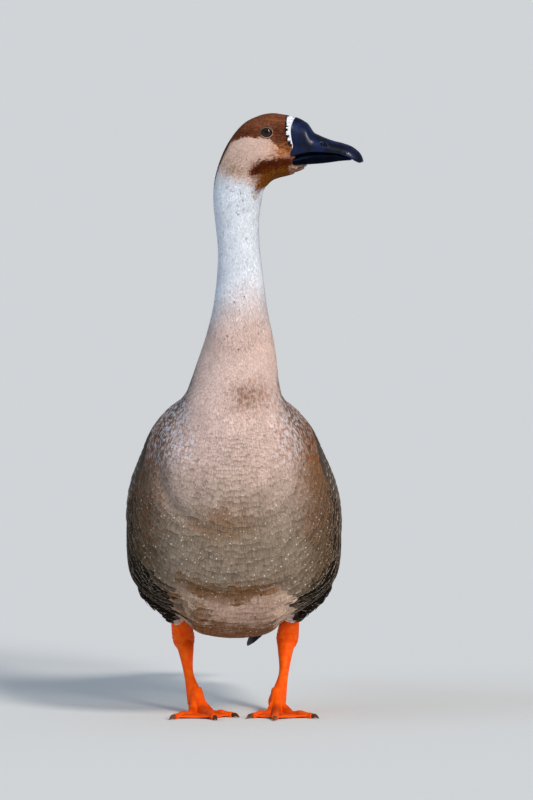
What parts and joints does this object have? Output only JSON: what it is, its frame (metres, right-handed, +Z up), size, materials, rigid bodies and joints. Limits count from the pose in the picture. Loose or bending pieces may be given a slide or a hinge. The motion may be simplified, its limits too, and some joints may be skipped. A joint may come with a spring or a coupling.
{
  "type": "domestic goose",
  "caption": "Life-size still model of a brown Chinese goose standing on both webbed feet, neck upright and head turned to its left, with folded wings.",
  "frame": {"origin": "on the floor, under the middle of the goose's bounding box", "axes": "+Z up, -Y the way the goose's body faces, +X its left side, which the head is turned towards"},
  "size_m": [0.2728, 0.511, 0.7019],
  "materials": {
    "breast_feathers": "soft close plumage, pinkish buff above and greyish tan below",
    "white_feathers": "soft close plumage, white",
    "cap_feathers": "very short soft plumage, rust brown",
    "wing_feathers": "grey-brown vanes with pale edges",
    "quills": "stiff dark vanes",
    "eye": "wet dark brown",
    "bill": "smooth black horn with a bluish sheen",
    "leg_skin": "bright orange scaled skin",
    "claw": "dark horn"
  },
  "bodies": {
    "root": {"trunk": "breast_feathers", "neck_lower": "breast_feathers", "neck_middle": "white_feathers", "neck_upper": "white_feathers", "head": "cap_feathers", "eye_left": "eye", "eye_right": "eye", "bill_upper": "bill", "bill_lower": "bill", "bill_nail": "bill", "wing_left": "wing_feathers", "wing_right": "wing_feathers", "tail": "quills", "primaries_left": "quills", "primaries_right": "quills", "thigh_left": "white_feathers", "thigh_right": "white_feathers", "hock_left": "leg_skin", "hock_right": "leg_skin", "shank_left": "leg_skin", "shank_right": "leg_skin", "foot_left": "leg_skin", "foot_right": "leg_skin", "claw_left_inner": "claw", "claw_left_middle": "claw", "claw_left_outer": "claw", "claw_left_hind": "claw", "claw_right_inner": "claw", "claw_right_middle": "claw", "claw_right_outer": "claw", "claw_right_hind": "claw"}
  },
  "joints": []
}
